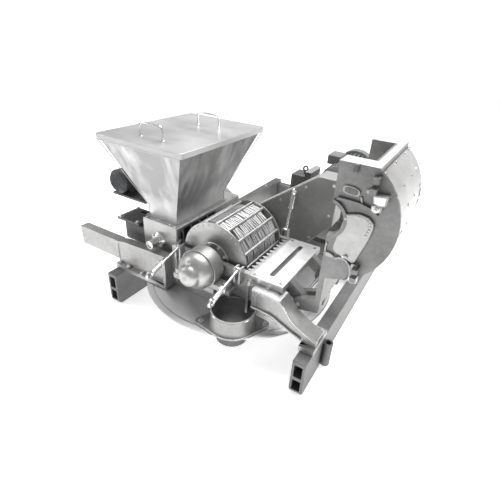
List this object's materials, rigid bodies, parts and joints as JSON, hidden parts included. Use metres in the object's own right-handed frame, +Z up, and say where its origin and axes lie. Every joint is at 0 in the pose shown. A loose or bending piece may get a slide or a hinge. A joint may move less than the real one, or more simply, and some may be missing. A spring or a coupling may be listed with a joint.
{
  "type": "sugar pulverizer",
  "caption": "Hammer mill on two rails with its cover swung open, a lidded hopper with a screw feeder, a round bin plate with a spout, and a belt drive behind.",
  "frame": {"origin": "centre of the bounding box's bottom face, on the floor", "axes": "+Z up, +Y along the rails and the rotor away from the operator's end, +X to the operator's right"},
  "size_m": [1.824, 2.302, 1.121],
  "materials": {
    "cast_grey": "sandblasted casting",
    "brushed_stainless": "brushed",
    "machined_steel": "machined",
    "dark_steel": "satin",
    "motor_grey": "satin",
    "belt_rubber": "matte"
  },
  "bodies": {
    "base": {"belt_guard": "dark_steel", "belt_guard_bracket": "dark_steel", "bin_plate": "brushed_stainless", "cover_hinge_pin": "machined_steel", "crossmember_front": "cast_grey", "crossmember_middle": "cast_grey", "crossmember_rear": "cast_grey", "drive_belts": "belt_rubber", "drive_table": "cast_grey", "dust_spout": "brushed_stainless", "feed_screw_bearing": "machined_steel", "feeder_chain_guard": "dark_steel", "feeder_gearcase": "cast_grey", "feeder_gearmotor": "motor_grey", "feeder_motor_bracket": "dark_steel", "feeder_motor_cowl": "motor_grey", "feeder_trough": "cast_grey", "front_bearing_cap": "cast_grey", "front_bearing_housing": "cast_grey", "hopper": "brushed_stainless", "left_arm": "cast_grey", "liner_left": "cast_grey", "liner_right": "cast_grey", "lower_housing": "cast_grey", "main_motor_end_bell": "motor_grey", "main_motor_fan_cowl": "motor_grey", "main_motor_frame": "motor_grey", "motor_base_plate": "dark_steel", "motor_tension_block": "dark_steel", "motor_trestle_front": "cast_grey", "motor_trestle_rear": "cast_grey", "rail_left": "cast_grey", "rail_right": "cast_grey", "rail_socket": "cast_grey", "rear_bearing_housing": "cast_grey", "retaining_screen": "brushed_stainless", "right_arm": "cast_grey"},
    "rotor": {"rotor_shaft": "machined_steel", "hammer_drum": "cast_grey", "rotor_disc_front": "machined_steel", "rotor_rod_cage": "machined_steel", "rotor_sheave": "cast_grey"},
    "motor_rotor": {"motor_sheave": "cast_grey", "main_motor_shaft": "machined_steel"},
    "screw": {"feed_screw": "machined_steel"},
    "feeder_drive": {"feeder_drive_shaft": "machined_steel"},
    "cover": {"mill_cover": "cast_grey", "cover_liner": "cast_grey"},
    "lid": {"hopper_lid": "brushed_stainless", "lid_handle_front": "machined_steel", "lid_handle_rear": "machined_steel"},
    "bolt_front_left": {"swing_bolt_front_left": "machined_steel"},
    "nut_front_left": {"swing_bolt_front_left_eye_nut": "machined_steel"},
    "bolt_front_right": {"swing_bolt_front_right": "machined_steel"},
    "nut_front_right": {"swing_bolt_front_right_eye_nut": "machined_steel"},
    "bolt_rear_left": {"swing_bolt_rear_left": "machined_steel"},
    "nut_rear_left": {"swing_bolt_rear_left_eye_nut": "machined_steel"},
    "bolt_rear_right": {"swing_bolt_rear_right": "machined_steel"},
    "nut_rear_right": {"swing_bolt_rear_right_eye_nut": "machined_steel"}
  },
  "joints": [
    {"name": "rotor_spin", "type": "hinge", "parent": "base", "child": "rotor", "pos_m": [0.058, -0.643, 0.46], "axis": [0, 1, 0], "continuous": true},
    {"name": "motor_spin", "type": "hinge", "parent": "base", "child": "motor_rotor", "pos_m": [0.388, -0.119, 0.705], "axis": [0, 1, 0], "continuous": true},
    {"name": "screw_spin", "type": "hinge", "parent": "base", "child": "screw", "pos_m": [-0.317, -0.519, 0.45], "axis": [0, 1, 0], "continuous": true},
    {"name": "feeder_drive_spin", "type": "hinge", "parent": "base", "child": "feeder_drive", "pos_m": [-0.662, -0.419, 0.702], "axis": [0, 1, 0], "continuous": true},
    {"name": "cover_hinge", "type": "hinge", "parent": "base", "child": "cover", "pos_m": [0.558, -0.644, 0.385], "axis": [0, 1, 0], "range_deg": [-90, 0]},
    {"name": "lid_lift", "type": "slide", "parent": "base", "child": "lid", "axis": [0, 0, 1], "range_m": [0, 0.3]},
    {"name": "swing_front_left", "type": "hinge", "parent": "base", "child": "bolt_front_left", "pos_m": [-0.12, -0.905, 0.5], "axis": [1, 0, 0], "range_deg": [-105, 0]},
    {"name": "nut_turn_front_left", "type": "hinge", "parent": "bolt_front_left", "child": "nut_front_left", "pos_m": [-0.12, -1.06921, 0.456], "axis": [0, -0.9659, -0.2588], "continuous": true},
    {"name": "swing_front_right", "type": "hinge", "parent": "base", "child": "bolt_front_right", "pos_m": [0.255, -0.905, 0.5], "axis": [1, 0, 0], "range_deg": [-105, 0]},
    {"name": "nut_turn_front_right", "type": "hinge", "parent": "bolt_front_right", "child": "nut_front_right", "pos_m": [0.255, -1.06921, 0.456], "axis": [0, -0.9659, -0.2588], "continuous": true},
    {"name": "swing_rear_left", "type": "hinge", "parent": "base", "child": "bolt_rear_left", "pos_m": [-0.12, -0.383, 0.5], "axis": [1, 0, 0], "range_deg": [0, 105]},
    {"name": "nut_turn_rear_left", "type": "hinge", "parent": "bolt_rear_left", "child": "nut_rear_left", "pos_m": [-0.12, -0.21879, 0.456], "axis": [0, 0.9659, -0.2588], "continuous": true},
    {"name": "swing_rear_right", "type": "hinge", "parent": "base", "child": "bolt_rear_right", "pos_m": [0.255, -0.383, 0.5], "axis": [1, 0, 0], "range_deg": [0, 14]},
    {"name": "nut_turn_rear_right", "type": "hinge", "parent": "bolt_rear_right", "child": "nut_rear_right", "pos_m": [0.255, -0.34187, 0.66495], "axis": [0, 0.2419, 0.9703], "continuous": true}
  ],
  "couplings": [
    {"joint": "motor_spin", "follows": "rotor_spin", "ratio": 1},
    {"joint": "feeder_drive_spin", "follows": "screw_spin", "ratio": 1.8}
  ]
}
